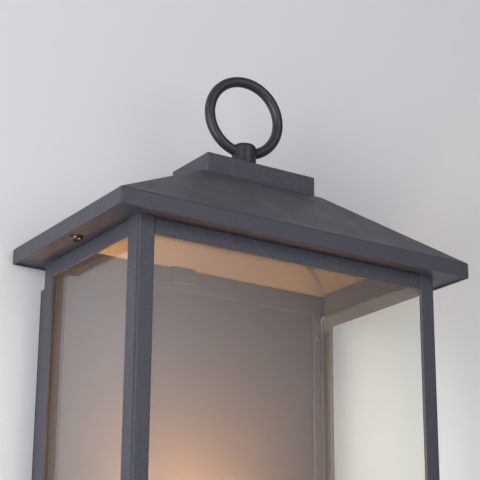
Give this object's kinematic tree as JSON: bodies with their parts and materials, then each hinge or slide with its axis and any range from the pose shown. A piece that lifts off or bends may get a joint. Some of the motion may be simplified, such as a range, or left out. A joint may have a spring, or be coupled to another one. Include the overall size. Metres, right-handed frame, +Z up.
{
  "type": "outdoor wall lantern",
  "caption": "Box-shaped glazed outdoor wall lantern with a hipped lift-off roof and a loop finial, held on a wall by a bracket, with a screw-in lamp inside.",
  "frame": {"origin": "the middle of the mounting bracket, on the wall plane", "axes": "+Y into the wall, +Z up, +X to the right of someone who faces the lantern"},
  "size_m": [0.24, 0.134, 0.4045],
  "materials": {
    "black_paint": "satin, fine texture",
    "roof_lining": "satin",
    "pane_glass": "clear, polished",
    "black_rubber": "matt",
    "bright_steel": "zinc plated",
    "dark_steel": "black oxide",
    "earth_green": "satin",
    "porcelain": "glazed",
    "brass": "drawn",
    "lamp_cap": "bright",
    "lamp_black_glass": "gloss",
    "lamp_glass": "clear",
    "filament": "matt",
    "terminal_plastic": "moulded",
    "brown_insulation": "smooth",
    "blue_insulation": "smooth"
  },
  "bodies": {
    "lantern": {"top_frame": "black_paint", "latch_tab": "black_paint", "roof_screws": "dark_steel", "front_left_post": "black_paint", "front_right_post": "black_paint", "rear_left_post": "black_paint", "rear_right_post": "black_paint", "front_top_rail": "black_paint", "left_top_rail": "black_paint", "right_top_rail": "black_paint", "front_bottom_rail": "black_paint", "left_bottom_rail": "black_paint", "right_bottom_rail": "black_paint", "front_glass": "pane_glass", "left_glass": "pane_glass", "right_glass": "pane_glass", "glazing_strips": "black_rubber", "pane_clips": "bright_steel", "back_panel": "black_paint", "panel_rivets": "black_paint", "wall_pan": "black_paint", "wall_gasket": "black_rubber", "wall_bracket": "bright_steel", "bracket_studs": "bright_steel", "cap_nuts": "bright_steel", "earth_screw": "earth_green", "terminal_block": "terminal_plastic", "base_tray": "black_paint", "base_cover": "black_paint", "cover_screws": "dark_steel", "holder_body": "porcelain", "holder_shell": "brass", "holder_contact": "brass", "holder_tube": "bright_steel", "tube_nut": "bright_steel", "live_lead": "brown_insulation", "neutral_lead": "blue_insulation", "lead_grommets": "black_rubber"},
    "roof": {"roof_front": "black_paint", "roof_back": "black_paint", "roof_left": "black_paint", "roof_right": "black_paint", "roof_crown": "black_paint", "roof_liner": "roof_lining", "cap_block": "black_paint", "finial_stud": "bright_steel", "stud_nut": "bright_steel", "roof_tabs": "black_paint", "finial_washer": "black_rubber"},
    "finial": {"finial_boss": "black_paint", "finial_ring": "black_paint"},
    "bulb": {"bulb_cap": "lamp_cap", "bulb_tip": "lamp_black_glass", "bulb_glass": "lamp_glass", "bulb_stem": "lamp_glass", "bulb_filaments": "filament"}
  },
  "joints": [
    {"name": "roof_lift", "type": "slide", "parent": "lantern", "child": "roof", "axis": [0, 0, 1], "range_m": [0, 0.06]},
    {"name": "finial_turn", "type": "hinge", "parent": "roof", "child": "finial", "pos_m": [0, -0.068, 0.21], "axis": [0, 0, 1], "continuous": true},
    {"name": "bulb_turn", "type": "hinge", "parent": "lantern", "child": "bulb", "pos_m": [0, -0.06585, -0.08], "axis": [0, 0, 1], "continuous": true}
  ]
}
